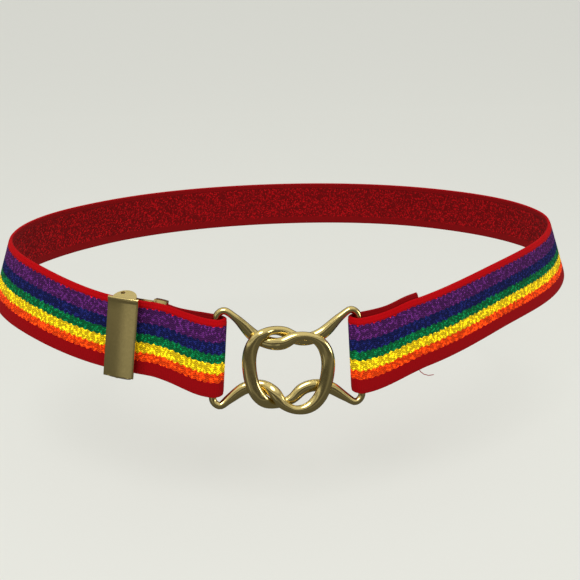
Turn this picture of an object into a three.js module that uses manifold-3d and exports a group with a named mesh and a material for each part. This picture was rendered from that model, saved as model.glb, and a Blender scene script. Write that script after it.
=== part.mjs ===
// Stretch belt: one striped elastic webbing, closed at the front by a two-part interlocking clasp, with a
// hinged clamp adjuster beside it. Millimetres. +Z is up, the clasp faces -Y, and the origin is the centre
// of the waist at the height of the belt's front.
import * as THREE from "three";
import { mergeVertices } from "three/addons/utils/BufferGeometryUtils.js";
import Module from "manifold-3d";

// The strap
const STRAP_WIDTH = 38;
const STRAP_THICK = 2.4;
const SELVEDGE = 0.7; // how far the rounding of each long edge reaches in
const GAP = 0.3; // clearance between pieces that touch
const HEM_LENGTH = 38; // sewn-back end on the right, from its bar
const END_SPREAD = 2.4; // how much wider the unstretched ends are at their bars
const BACK_RISE = 2.3; // how far the folded-back layers stand above the front one

// The loop round the waist, measured on the strap's outer face
const HALF_WIDTH = 168.7;
const FRONT_DEPTH = 86.5;
const BACK_DEPTH = 115;
const SIDE_RISE = 33.5; // how much higher the sides sit than the front

// One row for each station: degrees round the plan from the front, height as a share of SIDE_RISE, and how
// far the face leans back from upright, in degrees, with its lower edge further out.
const STATIONS = [
  { at: -180, rise: 0.86, lean: 22 },
  { at: -135, rise: 0.92, lean: 23 },
  { at: -90, rise: 1.0, lean: 23 },
  { at: -62, rise: 0.87, lean: 20 },
  { at: -40, rise: 0.565, lean: 15 },
  { at: -27, rise: 0.455, lean: 18 },
  { at: -16, rise: 0.31, lean: 20.5 },
  { at: -5.4, rise: -0.035, lean: 21 },
  { at: 7, rise: 0.17, lean: 19.5 },
  { at: 20, rise: 0.36, lean: 15 },
  { at: 40, rise: 0.73, lean: 12 },
  { at: 62, rise: 0.87, lean: 19 },
  { at: 90, rise: 0.96, lean: 26 },
  { at: 135, rise: 0.89, lean: 25 },
];
const CLASP_AT = -5.4; // degrees round the plan

// The clasp: two closed loops of flattened wire, linked through each other
const BAR_WIDE = 3.8; // the wire's width at the slot bar
const BAR_DEEP = 3.6;
const NECK_WIDE = 6.6;
const BIGHT_WIDE = 4.6; // the wire's width where the ring bar's round ends run into the necks
const RING_WIDE = 7.4; // the wire's width at the middle of a ring bar
const RING_DEEP = 4;
const RING_REACH = 20.5; // ring centre to the middle of a ring bar
const RING_HALF = 19.5; // half the ring's height, on the wire's centreline
const BIGHT_AT = 6; // where the ring bar's round end starts
const BIGHT_POWER = 2.3; // over 2 fills the corners of the round end out
// How far each half's strands are from its middle where they are closest
const NECKS = {
  left: { top: 12.6, bottom: 10.6 },
  right: { top: 12.4, bottom: 12.6 },
};
const SLOT_AT = 39; // ring centre to a slot bar
const SLOT_ROOM = 2.7; // between the strap's edge and the wire's corner
const SLOT_CORNER = 4.4; // radius of the wire's corner
const HALF_TURN = 8.5; // degrees that each half is turned, its strap end up
const BAR_TURN = { left: 7, right: 3.2 }; // degrees that each slot bar is turned back towards upright
const HALF_SHIFT = 1.2; // how far the halves sit above and below each other
const CLASP_BEND = 330; // radius that the clasp is curved to, round the waist
const WEAVE_FROM = -14.5; // the two halves change over from back to front between these
const WEAVE_TO = -4.5;
const FOLD_SLACK = 1.2; // free room between a slot bar and the end of its fold
const HOLD = 3; // the strap runs straight off its bar for this far
const RELEASE = 34; // and lies on the waist from here
const PULL = 0.12; // how far it is drawn up across the bar for each millimetre of its run
const SPREAD_TO = 26; // its own width is reached this far from the bar

// The clamp adjuster
const ADJUSTER_AT = -86.2; // along the strap from the clasp's centre
const ADJUSTER_TURN = 1.2; // degrees that it has slewed on the strap
const CLAMP_GAP = 0.45; // clearance between the strap and the clamp
const LEVER_WIDE = 15.6;
const LEVER_TALL = STRAP_WIDTH + 2.8; // 1.4 past each edge of the strap
const LEVER_STAND = 5.8; // its front over the strap's face
const LEVER_CROWN = 0.5;
const METAL = 0.9;
const LIP_TALL = 2.2;
const LIP_PROUD = 0.5;
const PIVOT_X = -1.8; // the hinge, left of the adjuster's centre
const PIVOT_Z = 1.8; // and over the strap's face
const PIVOT_R = 0.85;
const EAR_AT = 0.4; // the lever's ears, from the adjuster's centre
const EAR_HALF = 6;
const EAR_LONG = 6.6;
const EAR_METAL = 0.7;
const EAR_SPLAY = 25; // degrees that the lever's ears flare out
const FRAME_METAL = 0.8;
const FRAME_LEFT = 6; // the back plate's reach to the left of the adjuster's centre
const FRAME_EAR_HALF = 1.3;
const FRAME_EAR_METAL = 0.6;
const CRIMP_FROM = 12.4;
const CRIMP_TO = 18.9;
const CRIMP_OVER = CLAMP_GAP + FRAME_METAL; // of the crimp over the strap's top edge
const TOOTH_PITCH = 2;
const TOOTH_TALL = 0.8;
const JAW_HALF = STRAP_WIDTH / 2 - 2; // the toothed rib stops 2 short of the strap's edges
const JAW_LEAD = 0.6; // of the toothed rib past the hinge, so that opening lifts it

// Mesh fineness
const LOOP_STEP = 4.4;
const END_STEP = 2.3;
const FOLD_STEPS = 8;
const WIRE_SIDES = 12;
const WIRE_STEPS = 84;

const wasm = await Module();
wasm.setup();

const radians = THREE.MathUtils.degToRad;
const { lerp, smoothstep } = THREE.MathUtils;
const vector = (x, y, z) => new THREE.Vector3(x, y, z);

// A column of STATIONS at any angle, on a smooth closed curve through its rows.
function station(column, at) {
  const n = STATIONS.length;
  const turn = 360;
  const angle = ((((at + 180) % turn) + turn) % turn) - 180;
  let i = n - 1;
  while (STATIONS[i].at > angle) i--;
  const row = (k) => {
    const wrapped = STATIONS[(k + n) % n];
    const laps = Math.floor(k / n);
    return { at: wrapped.at + laps * turn, value: wrapped[column] };
  };
  const [a, b, c, d] = [row(i - 1), row(i), row(i + 1), row(i + 2)];
  const slopeB = (c.value - a.value) / (c.at - a.at);
  const slopeC = (d.value - b.value) / (d.at - b.at);
  const h = c.at - b.at;
  const u = (angle - b.at) / h;
  const rest = 1 - u;
  return (
    b.value * (1 + 2 * u) * rest * rest +
    c.value * u * u * (3 - 2 * u) +
    h * (slopeB * u * rest * rest - slopeC * u * u * rest)
  );
}

// A point of the belt's middle line, on the outer face, at an angle round the plan.
function waistPoint(at) {
  const t = radians(at);
  const depth = Math.cos(t) > 0 ? FRONT_DEPTH : BACK_DEPTH;
  return vector(HALF_WIDTH * Math.sin(t), -depth * Math.cos(t), SIDE_RISE * station("rise", at));
}

// The loop's length, tabled against the angle, so that the belt can be walked in millimetres.
const WALK_STEP = 0.5;
const walk = [{ at: CLASP_AT, s: 0 }];
for (let at = CLASP_AT; at < CLASP_AT + 360 - WALK_STEP / 2; at += WALK_STEP) {
  const last = walk[walk.length - 1];
  walk.push({ at: at + WALK_STEP, s: last.s + waistPoint(at).distanceTo(waistPoint(at + WALK_STEP)) });
}
const LOOP_LENGTH = walk[walk.length - 1].s;

function angleAt(s) {
  const along = ((s % LOOP_LENGTH) + LOOP_LENGTH) % LOOP_LENGTH;
  let low = 0;
  let high = walk.length - 1;
  while (high - low > 1) {
    const middle = (low + high) >> 1;
    if (walk[middle].s > along) high = middle;
    else low = middle;
  }
  const share = (along - walk[low].s) / (walk[high].s - walk[low].s);
  return lerp(walk[low].at, walk[high].at, share);
}

// A frame has the point on the strap's outer face, along (towards +X in front), across (up) and out.
function frameFrom(point, along, outGuess) {
  const a = along.clone().normalize();
  const out = outGuess.clone().addScaledVector(a, -outGuess.dot(a)).normalize();
  return { point, along: a, across: out.clone().cross(a), out };
}

// The frame round the waist, at a distance along the belt from the clasp's centre.
function waistFrame(s) {
  const at = angleAt(s);
  const along = waistPoint(at + WALK_STEP).sub(waistPoint(at - WALK_STEP)).normalize();
  const level = vector(along.y, -along.x, 0).normalize();
  const up = level.clone().cross(along);
  const lean = radians(station("lean", at));
  const out = level.multiplyScalar(Math.cos(lean)).addScaledVector(up, Math.sin(lean));
  return frameFrom(waistPoint(at), along, out);
}

function inFrame(frame, along, across, out) {
  return frame.point
    .clone()
    .addScaledVector(frame.along, along)
    .addScaledVector(frame.across, across)
    .addScaledVector(frame.out, out);
}

// The clasp's own frame. Its wires' mid-plane lies in the middle of the strap's folds.
const FOLD_RADIUS = BAR_DEEP / 2 + GAP + STRAP_THICK / 2; // of the strap's middle line
const BAR_SINK = STRAP_THICK / 2 + FOLD_RADIUS; // the wires' mid-plane, under the strap's outer face
const claspHome = waistFrame(0);
claspHome.point = inFrame(claspHome, 0, 0, -BAR_SINK);

function claspPoint(x, y, z) {
  return inFrame(claspHome, x, y, z - (x * x) / (2 * CLASP_BEND));
}

// A point of one half, u towards its ring bar and v up, in the clasp's frame. Side is -1 on the left.
function halfPoint(side, u, v) {
  const turn = radians(HALF_TURN);
  const x = u * Math.cos(turn) + v * Math.sin(turn);
  const y = -u * Math.sin(turn) + v * Math.cos(turn);
  return { x: -side * x, y: y + side * HALF_SHIFT };
}

// Turns a half's slot end, and less of its arms, round the middle of the slot bar.
function turnedSlot(side, u, v) {
  const full = radians(side < 0 ? BAR_TURN.left : BAR_TURN.right);
  const turn = full * smoothstep(-u, RING_REACH, SLOT_AT - SLOT_CORNER);
  const inward = u + SLOT_AT;
  return {
    u: -SLOT_AT + inward * Math.cos(turn) - v * Math.sin(turn),
    v: inward * Math.sin(turn) + v * Math.cos(turn),
  };
}

// The frame where the strap leaves a slot bar, on the strap's outer face.
function barFrame(side) {
  const at = (inward, up) => {
    const { u, v } = turnedSlot(side, inward - SLOT_AT, up);
    const p = halfPoint(side, u, v);
    return claspPoint(p.x, p.y, 0);
  };
  const bar = at(0, 0);
  const along = at(-1, 0).sub(at(1, 0)).multiplyScalar(side);
  const across = at(0, 1).sub(at(0, -1));
  const frame = frameFrom(bar, along, along.clone().cross(across));
  frame.point = inFrame(frame, 0, 0, BAR_SINK);
  return frame;
}
const barFrames = new Map([-1, 1].map((side) => [side, barFrame(side)]));

// A place along the belt as the shorter way from the clasp's centre, below 0 on the left.
function nearWay(s) {
  const half = LOOP_LENGTH / 2;
  return ((((s + half) % LOOP_LENGTH) + LOOP_LENGTH) % LOOP_LENGTH) - half;
}

// The frame on the strap's outer face, straight off its bar at first and then round the waist.
function strapFrame(s) {
  const near = nearWay(s);
  const side = Math.sign(near);
  const run = Math.abs(near) - SLOT_AT;
  const waist = waistFrame(near);
  const share = smoothstep(run, HOLD, RELEASE);
  if (share === 1) return waist;
  const bar = barFrames.get(side);
  const point = inFrame(bar, side * run, PULL * Math.max(run, 0), 0).lerp(waist.point, share);
  const along = bar.along.clone().lerp(waist.along, share);
  const out = bar.out.clone().lerp(waist.out, share);
  return frameFrom(point, along, out);
}

// A closed surface through rings of points, each ring turning the same way about the run.
function loft(rings, closed) {
  const sides = rings[0].length;
  const index = [];
  const runs = closed ? rings.length : rings.length - 1;
  for (let i = 0; i < runs; i++) {
    const next = (i + 1) % rings.length;
    for (let j = 0; j < sides; j++) {
      const k = (j + 1) % sides;
      const [a, b, c, d] = [i * sides + j, i * sides + k, next * sides + k, next * sides + j];
      index.push(a, b, c, a, c, d);
    }
  }
  if (!closed) {
    const last = (rings.length - 1) * sides;
    for (let j = 1; j < sides - 1; j++) {
      index.push(0, j + 1, j);
      index.push(last, last + j, last + j + 1);
    }
  }
  const geometry = new THREE.BufferGeometry().setFromPoints(rings.flat());
  geometry.setIndex(index);
  return geometry;
}

// Solids, for the pieces that are joined or cut
function solid(geometry) {
  const bare = geometry.clone();
  for (const name of Object.keys(bare.attributes)) {
    if (name !== "position") bare.deleteAttribute(name);
  }
  const merged = mergeVertices(bare, 1e-4);
  return new wasm.Manifold(
    new wasm.Mesh({
      numProp: 3,
      vertProperties: merged.attributes.position.array,
      triVerts: new Uint32Array(merged.index.array),
    }),
  );
}

function geometryOf(body) {
  const mesh = body.getMesh();
  const positions = new Float32Array(mesh.numVert * 3);
  for (let i = 0; i < mesh.numVert; i++) {
    positions.set(mesh.vertProperties.subarray(i * mesh.numProp, i * mesh.numProp + 3), i * 3);
  }
  const geometry = new THREE.BufferGeometry();
  geometry.setAttribute("position", new THREE.BufferAttribute(positions, 3));
  return geometry.setIndex(new THREE.BufferAttribute(mesh.triVerts, 1));
}

function box(low, high, segments = 1) {
  const size = high.clone().sub(low);
  const middle = high.clone().add(low).multiplyScalar(0.5);
  return new THREE.BoxGeometry(size.x, size.y, size.z, segments, 1, 1).translate(...middle);
}

// Puts a flat geometry on the strap: x along it from a place s, y across it and z out from its outer face.
function bendOntoStrap(geometry, s) {
  const position = geometry.attributes.position;
  for (let i = 0; i < position.count; i++) {
    const frame = strapFrame(s + position.getX(i));
    const p = inFrame(frame, 0, position.getY(i), position.getZ(i));
    position.setXYZ(i, p.x, p.y, p.z);
  }
  return geometry;
}

// The strap
// Half its width, which is wider near a bar, where the webbing is folded and doesn't stretch.
function halfWidth(run) {
  return (STRAP_WIDTH + END_SPREAD * (1 - smoothstep(run, HOLD, SPREAD_TO))) / 2;
}

// Its section, round the run: out is the thickness, across the width, with rounded long edges.
function strapRing(point, out, across, half) {
  const flat = STRAP_THICK / 2;
  const corner = flat * 0.45;
  const outline = [
    [flat, -(half - SELVEDGE)],
    [flat, half - SELVEDGE],
    [corner, half],
    [-corner, half],
    [-flat, half - SELVEDGE],
    [-flat, -(half - SELVEDGE)],
    [-corner, -half],
    [corner, -half],
  ];
  return outline.map(([t, w]) => point.clone().addScaledVector(out, t).addScaledVector(across, w));
}

// A ring on the strap's run at s, raised across it and sunk under the outer face. Facing is -1 where its
// outer face looks in.
function routeRing(s, rise, sink, facing) {
  const frame = strapFrame(s);
  const out = frame.out.clone().multiplyScalar(facing);
  return strapRing(inFrame(frame, 0, rise, -sink), out, frame.across, halfWidth(Math.abs(nearWay(s)) - SLOT_AT));
}

const FRONT_SINK = STRAP_THICK / 2;
const BACK_SINK = FRONT_SINK + 2 * FOLD_RADIUS;
const PLATE_TOP = STRAP_THICK + CLAMP_GAP; // the adjuster's back plate, under the outer face
const PLATE_UNDER = PLATE_TOP + FRAME_METAL;
const CRIMP_SINK = PLATE_UNDER + CLAMP_GAP + STRAP_THICK / 2; // the strap's raw end, inside the crimp
const CRIMP_UNDER = CRIMP_SINK + STRAP_THICK / 2 + CLAMP_GAP;
const HEM_SINK = FRONT_SINK + STRAP_THICK + GAP;

// One end's folded part, from its free end to the start of the front layer. It settles from the fold's own
// rise and sink to those of the free end.
function strapEnd(side, freeRun, freeRise, freeSink, settleTo) {
  const rings = [];
  const steps = Math.ceil(freeRun / END_STEP);
  for (let i = 0; i <= steps; i++) {
    const run = lerp(freeRun, -FOLD_SLACK, i / steps);
    const settled = smoothstep(run, HOLD, settleTo);
    const rise = lerp(BACK_RISE, freeRise, settled);
    const sink = lerp(BACK_SINK, freeSink, settled);
    rings.push(routeRing(side * (SLOT_AT + run), rise, sink, -1));
  }
  const bar = barFrames.get(side);
  for (let i = 1; i <= FOLD_STEPS; i++) {
    const back = 1 - i / FOLD_STEPS;
    const out = bar.out.clone().multiplyScalar(Math.cos(Math.PI * back));
    out.addScaledVector(bar.along, -side * Math.sin(Math.PI * back));
    const centre = inFrame(bar, -side * FOLD_SLACK, BACK_RISE * back, -BAR_SINK);
    rings.push(strapRing(centre.addScaledVector(out, FOLD_RADIUS), out, bar.across, halfWidth(0)));
  }
  return rings;
}

function strapGeometry() {
  const rawRun = Math.abs(ADJUSTER_AT) - SLOT_AT - CRIMP_FROM - FRAME_METAL - CLAMP_GAP;
  const crimpRun = Math.abs(ADJUSTER_AT) - SLOT_AT - CRIMP_TO;
  const left = strapEnd(-1, rawRun, 0, CRIMP_SINK, crimpRun - STRAP_THICK);
  const right = strapEnd(1, HEM_LENGTH, BACK_RISE, HEM_SINK, HEM_LENGTH / 2);
  const start = SLOT_AT - FOLD_SLACK;
  const length = LOOP_LENGTH - 2 * start;
  const steps = Math.ceil(length / LOOP_STEP);
  const round = [];
  for (let i = 1; i < steps; i++) {
    round.push(routeRing(-start - (length * i) / steps, 0, FRONT_SINK, 1));
  }
  return loft([...left, ...round, ...right.reverse()], false);
}

// The clasp
// One strand's centreline: round ring bar, neck, arm, corner and slot bar.
function strandOutline(neck) {
  const slotHalf = halfWidth(0) + BAR_WIDE / 2 + SLOT_ROOM;
  const strand = [];
  for (const angle of [0, 18, 36, 54, 72, 90]) {
    const c = Math.cos(radians(angle)) ** (2 / BIGHT_POWER);
    const s = Math.sin(radians(angle)) ** (2 / BIGHT_POWER);
    strand.push({ u: BIGHT_AT + (RING_REACH - BIGHT_AT) * c, v: RING_HALF * s });
  }
  strand.push({ u: 0, v: lerp(neck, RING_HALF, 0.77) });
  strand.push({ u: -BIGHT_AT, v: lerp(neck, RING_HALF, 0.17) });
  strand.push({ u: -0.58 * RING_REACH, v: neck });
  strand.push({ u: -0.98 * RING_REACH, v: lerp(neck, slotHalf, 0.16) });
  strand.push({ u: -0.76 * SLOT_AT, v: lerp(neck, slotHalf, 0.74) });
  for (const angle of [92, 122, 152, 180]) {
    const u = -SLOT_AT + SLOT_CORNER + SLOT_CORNER * Math.cos(radians(angle));
    const v = slotHalf - SLOT_CORNER + SLOT_CORNER * Math.sin(radians(angle));
    strand.push({ u, v });
  }
  strand.push({ u: -SLOT_AT, v: slotHalf / 3 });
  return strand;
}

// One half's centreline, top strand first and then the bottom one back to the ring bar.
function halfOutline(side) {
  const necks = side < 0 ? NECKS.left : NECKS.right;
  const top = strandOutline(necks.top);
  const bottom = strandOutline(necks.bottom)
    .slice(1)
    .reverse()
    .map(({ u, v }) => ({ u, v: -v }));
  return [...top, ...bottom].map(({ u, v }) => turnedSlot(side, u, v));
}

function halfGeometry(side) {
  const centre = halfOutline(side).map(({ u, v }) => {
    const { x, y } = halfPoint(side, u, v);
    const lift = (RING_DEEP + GAP) / 2;
    const front = side * (1 - 2 * smoothstep(x, WEAVE_FROM, WEAVE_TO));
    const slot = smoothstep(-u, RING_REACH + BAR_WIDE, SLOT_AT - SLOT_CORNER);
    const bend = (x * x) / (2 * CLASP_BEND);
    return vector(x, y, lift * front * (1 - slot) - bend);
  });
  const curve = new THREE.CatmullRomCurve3(centre, true, "centripetal");
  const turn = radians(HALF_TURN);
  const rings = [];
  for (let i = 0; i < WIRE_STEPS; i++) {
    const share = i / WIRE_STEPS;
    const p = curve.getPointAt(share);
    const run = curve.getTangentAt(share);
    const deep = vector(0, 0, 1).addScaledVector(run, -run.z).normalize();
    const wide = deep.clone().cross(run);
    const u = -side * p.x * Math.cos(turn) - (p.y - side * HALF_SHIFT) * Math.sin(turn);
    const bight = lerp(NECK_WIDE, BIGHT_WIDE, smoothstep(u, -BIGHT_AT, BIGHT_AT));
    const loop = lerp(bight, RING_WIDE, smoothstep(u, BIGHT_AT, RING_REACH));
    const arm = smoothstep(-u, RING_REACH, SLOT_AT - SLOT_CORNER);
    const halfWide = lerp(loop, BAR_WIDE, arm) / 2;
    const halfDeep = lerp(RING_DEEP, BAR_DEEP, arm) / 2;
    const points = [];
    for (let j = 0; j < WIRE_SIDES; j++) {
      const angle = (2 * Math.PI * j) / WIRE_SIDES;
      const at = p.clone().addScaledVector(wide, halfWide * Math.cos(angle));
      points.push(at.addScaledVector(deep, halfDeep * Math.sin(angle)));
    }
    rings.push(points);
  }
  return loft(rings, true);
}

// The adjuster
const adjusterHome = strapFrame(ADJUSTER_AT);
const adjusterMatrix = new THREE.Matrix4()
  .makeBasis(adjusterHome.along, adjusterHome.across, adjusterHome.out)
  .setPosition(adjusterHome.point)
  .multiply(new THREE.Matrix4().makeRotationZ(radians(ADJUSTER_TURN)));

// The strap's edge at the frame's ears, with the adjuster slewed on it.
const slew = radians(ADJUSTER_TURN);
const edgeAtEars = STRAP_WIDTH / 2 + (FRAME_EAR_HALF - PIVOT_X) * Math.sin(slew);
const FRAME_EAR_INNER = edgeAtEars / Math.cos(slew) + CLAMP_GAP;
const FRAME_EAR_OUTER = FRAME_EAR_INNER + FRAME_EAR_METAL;
const PIN_END = LEVER_TALL / 2 + (LEVER_STAND - PIVOT_Z) * Math.tan(radians(EAR_SPLAY)) + GAP;

// A box between y values on one end, top (1) or bottom (-1), of the adjuster.
function endBox(end, x, y, z) {
  const ys = [end * y[0], end * y[1]].sort((a, b) => a - b);
  return box(vector(x[0], ys[0], z[0]), vector(x[1], ys[1], z[1]));
}

function endRod(end, radius, from, to) {
  const rod = new THREE.CylinderGeometry(radius, radius, to - from, 16);
  return rod.translate(PIVOT_X, (end * (from + to)) / 2, PIVOT_Z);
}

// Its back plate lies behind the front layer and ends in the crimp that holds the strap's raw end, closed at
// the top and open at the bottom. Two ears come forward past the strap's edges and carry the pivots.
function frameGeometry() {
  const strapHalf = STRAP_WIDTH / 2;
  const plateHalf = strapHalf + CLAMP_GAP;
  const low = vector(-FRAME_LEFT, -plateHalf, -PLATE_UNDER);
  const plate = box(low, vector(CRIMP_FROM + FRAME_METAL, plateHalf, -PLATE_TOP), 8);
  const blockLow = vector(CRIMP_FROM, -strapHalf, -(CRIMP_UNDER + FRAME_METAL));
  const block = box(blockLow, vector(CRIMP_TO, strapHalf + CRIMP_OVER, -PLATE_TOP), 3);
  const slotLow = vector(CRIMP_FROM + FRAME_METAL, -plateHalf, -CRIMP_UNDER);
  const slot = box(slotLow, vector(CRIMP_TO + FRAME_METAL, plateHalf, -PLATE_UNDER), 3);
  let body = solid(bendOntoStrap(block, ADJUSTER_AT));
  body = body.subtract(solid(bendOntoStrap(slot, ADJUSTER_AT)));
  body = body.add(solid(bendOntoStrap(plate, ADJUSTER_AT)));
  const earX = [PIVOT_X - FRAME_EAR_HALF, PIVOT_X + FRAME_EAR_HALF];
  for (const end of [-1, 1]) {
    const pieces = [
      endBox(end, earX, [plateHalf - FRAME_EAR_METAL, FRAME_EAR_OUTER], [-PLATE_UNDER, -PLATE_TOP]),
      endBox(end, earX, [FRAME_EAR_INNER, FRAME_EAR_OUTER], [-PLATE_UNDER, PIVOT_Z]),
      endRod(end, FRAME_EAR_HALF, FRAME_EAR_INNER, FRAME_EAR_OUTER),
      endRod(end, PIVOT_R, FRAME_EAR_INNER + FRAME_EAR_METAL / 2, PIN_END),
    ];
    for (const piece of pieces) body = body.add(solid(piece.applyMatrix4(adjusterMatrix)));
  }
  return geometryOf(body);
}

// The lever's front plate, in the adjuster's own frame: crowned, with a raised lip along its top end.
function leverPlate() {
  const half = LEVER_TALL / 2;
  const lip = [
    { inward: 1.15, proud: 0 },
    { inward: 0.84, proud: 1 },
    { inward: 0.16, proud: 1 },
    { inward: 0, proud: 0.3 },
  ];
  const stations = [
    { y: -half, proud: 0 },
    ...lip.map(({ inward, proud }) => ({ y: half - inward * LIP_TALL, proud })),
  ];
  const steps = 8;
  const rings = stations.map(({ y, proud }) => {
    const top = [];
    for (let i = 0; i <= steps; i++) {
      const across = (2 * i) / steps - 1;
      const rounding = Math.abs(across) === 1 ? METAL / 2 : 0;
      const z = LEVER_STAND - LEVER_CROWN * across * across + proud * LIP_PROUD - rounding;
      top.push({ x: (across * LEVER_WIDE) / 2, z });
    }
    const under = top.map(({ x }) => {
      const across = (2 * x) / LEVER_WIDE;
      return { x, z: LEVER_STAND - LEVER_CROWN * across * across - METAL };
    });
    return [...top, ...under.reverse()].map(({ x, z }) => vector(x, y, z));
  });
  return loft(rings, false);
}

// A half-moon ear, folded back off one end of the lever and flared out a little.
function leverEar(end) {
  const shape = new THREE.Shape();
  shape.moveTo(-EAR_HALF, -EAR_METAL / 2);
  shape.lineTo(EAR_HALF, -EAR_METAL / 2);
  shape.absellipse(0, 0, EAR_HALF, EAR_LONG, 0, Math.PI, false);
  const ear = new THREE.ExtrudeGeometry(shape, { depth: EAR_METAL, bevelEnabled: false, curveSegments: 9 });
  const splay = radians(EAR_SPLAY);
  const back = vector(0, end * Math.sin(splay), -Math.cos(splay));
  const inward = vector(1, 0, 0).cross(back);
  ear.applyMatrix4(new THREE.Matrix4().makeBasis(vector(1, 0, 0), back, inward));
  if (end > 0) {
    // inward points away from the strap at this end, so the metal is moved to the inner side
    ear.translate(0, -EAR_METAL * inward.y, -EAR_METAL * inward.z);
  }
  return ear.translate(EAR_AT, (end * LEVER_TALL) / 2, LEVER_STAND - METAL / 2);
}

// The toothed rib that bites the strap under the plate.
function leverJaw() {
  const shape = new THREE.Shape();
  const teeth = Math.round((2 * JAW_HALF) / TOOTH_PITCH);
  shape.moveTo(-JAW_HALF, LEVER_STAND - METAL / 2);
  for (let i = 0; i < teeth; i++) {
    const y = -JAW_HALF + (2 * JAW_HALF * i) / teeth;
    shape.lineTo(y, CLAMP_GAP + TOOTH_TALL);
    shape.lineTo(y + JAW_HALF / teeth, CLAMP_GAP);
  }
  shape.lineTo(JAW_HALF, CLAMP_GAP + TOOTH_TALL);
  shape.lineTo(JAW_HALF, LEVER_STAND - METAL / 2);
  const jaw = new THREE.ExtrudeGeometry(shape, { depth: METAL, bevelEnabled: false });
  const basis = new THREE.Matrix4().makeBasis(vector(0, 1, 0), vector(0, 0, 1), vector(1, 0, 0));
  return jaw.applyMatrix4(basis).translate(PIVOT_X + JAW_LEAD, 0, 0);
}

function leverGeometry() {
  let body = solid(leverPlate()).add(solid(leverJaw()));
  for (const end of [-1, 1]) body = body.add(solid(leverEar(end)));
  for (const end of [-1, 1]) {
    body = body.subtract(solid(endRod(end, PIVOT_R + GAP, FRAME_EAR_OUTER, PIN_END + EAR_LONG)));
  }
  return geometryOf(body);
}

// Materials
const webbing = new THREE.MeshStandardMaterial({ color: 0xb01020, roughness: 0.85, metalness: 0 });
const brass = () => new THREE.MeshStandardMaterial({ color: 0xc8a84a, roughness: 0.22, metalness: 1 });

function named(name, geometry, material) {
  const mesh = new THREE.Mesh(geometry, material);
  mesh.name = name;
  return mesh;
}

// Assembly
const belt = new THREE.Group();
belt.add(named("strap", strapGeometry(), webbing));
belt.add(named("adjuster_frame", frameGeometry(), brass()));

const clasp = new THREE.Group();
clasp.applyMatrix4(
  new THREE.Matrix4()
    .makeBasis(claspHome.along, claspHome.across, claspHome.out)
    .setPosition(claspHome.point),
);
clasp.add(named("buckle_left", halfGeometry(-1), brass()));
clasp.add(named("buckle_right", halfGeometry(1), brass()));
belt.add(clasp);

const lever = new THREE.Group();
lever.applyMatrix4(adjusterMatrix);
lever.add(named("adjuster_lever", leverGeometry(), brass()));
belt.add(lever);

export default belt;
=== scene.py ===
"""Stretch belt: striped elastic webbing, an interlocking clasp and a clamp adjuster, round the frame."""

import math

import bmesh
import bpy
from bpy.props import FloatProperty, FloatVectorProperty, PointerProperty
from mathutils import Matrix, Vector


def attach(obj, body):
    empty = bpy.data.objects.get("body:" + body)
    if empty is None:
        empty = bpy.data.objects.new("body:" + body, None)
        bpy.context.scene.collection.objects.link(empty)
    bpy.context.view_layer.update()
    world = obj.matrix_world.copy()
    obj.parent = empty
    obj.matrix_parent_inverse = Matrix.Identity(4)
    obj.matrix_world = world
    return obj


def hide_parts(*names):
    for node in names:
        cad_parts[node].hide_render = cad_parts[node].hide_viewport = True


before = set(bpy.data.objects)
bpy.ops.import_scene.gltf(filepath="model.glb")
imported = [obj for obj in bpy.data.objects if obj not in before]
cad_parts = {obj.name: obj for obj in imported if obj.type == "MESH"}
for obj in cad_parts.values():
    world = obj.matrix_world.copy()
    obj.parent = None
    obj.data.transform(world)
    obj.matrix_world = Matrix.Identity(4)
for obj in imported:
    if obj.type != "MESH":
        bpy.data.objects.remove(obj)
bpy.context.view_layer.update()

bl_info = {
    "name": "Stretch belt",
    "version": (1, 0, 0),
    "blender": (4, 5, 0),
    "location": "View3D > Sidebar > Belt",
    "description": "Builds a striped stretch belt with its clasp and adjuster",
    "category": "Object",
}

MM = 0.001


def linear(text):
    """An sRGB hex colour as linear values."""
    channels = [int(text[i : i + 2], 16) / 255 for i in (1, 3, 5)]
    return [c / 12.92 if c <= 0.04045 else ((c + 0.055) / 1.055) ** 2.4 for c in channels]


# Sizes, in millimetres and degrees, as the frame has them
STRAP_WIDTH = 38.0
STRAP_THICK = 2.4
GAP = 0.3
HEM_LENGTH = 38.0
END_SPREAD = 2.4
BACK_RISE = 2.3
HALF_WIDTH = 168.7
FRONT_DEPTH = 86.5
BACK_DEPTH = 115.0
SIDE_RISE = 33.5
CLASP_AT = -5.4
BAR_WIDE = 3.8
BAR_DEEP = 3.6
NECK_WIDE = 6.6
BIGHT_WIDE = 4.6
RING_WIDE = 7.4
RING_DEEP = 4.0
RING_REACH = 20.5
RING_HALF = 19.5
BIGHT_AT = 6.0
BIGHT_POWER = 2.3
NECKS = {-1: (12.6, 10.6), 1: (12.4, 12.6)}
SLOT_AT = 39.0
SLOT_ROOM = 2.7
SLOT_CORNER = 4.4
HALF_TURN = math.radians(8.5)
BAR_TURNS = {-1: math.radians(7), 1: math.radians(3.2)}
HALF_SHIFT = 1.2
CLASP_BEND = 330.0
WEAVE_FROM = -14.5
WEAVE_TO = -4.5
FOLD_SLACK = 1.2
HOLD = 3.0
RELEASE = 34.0
SPREAD_TO = 26.0
PULL = 0.12
ADJUSTER_AT = -86.2
ADJUSTER_TURN = math.radians(1.2)
CLAMP_GAP = 0.45
LEVER_WIDE = 15.6
LEVER_TALL = 40.8
LEVER_STAND = 5.8
LEVER_CROWN = 0.5
METAL = 0.9
LIP_TALL = 2.2
LIP_PROUD = 0.5
PIVOT_X = -1.8
PIVOT_Z = 1.8
PIVOT_R = 0.85
EAR_AT = 0.4
EAR_HALF = 6.0
EAR_LONG = 6.6
EAR_METAL = 0.7
EAR_SPLAY = math.radians(25)
PIN_END = LEVER_TALL / 2 + (LEVER_STAND - PIVOT_Z) * math.tan(EAR_SPLAY) + GAP
PIN_SHORT = 0.5
PIN_RIM = 0.2
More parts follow.
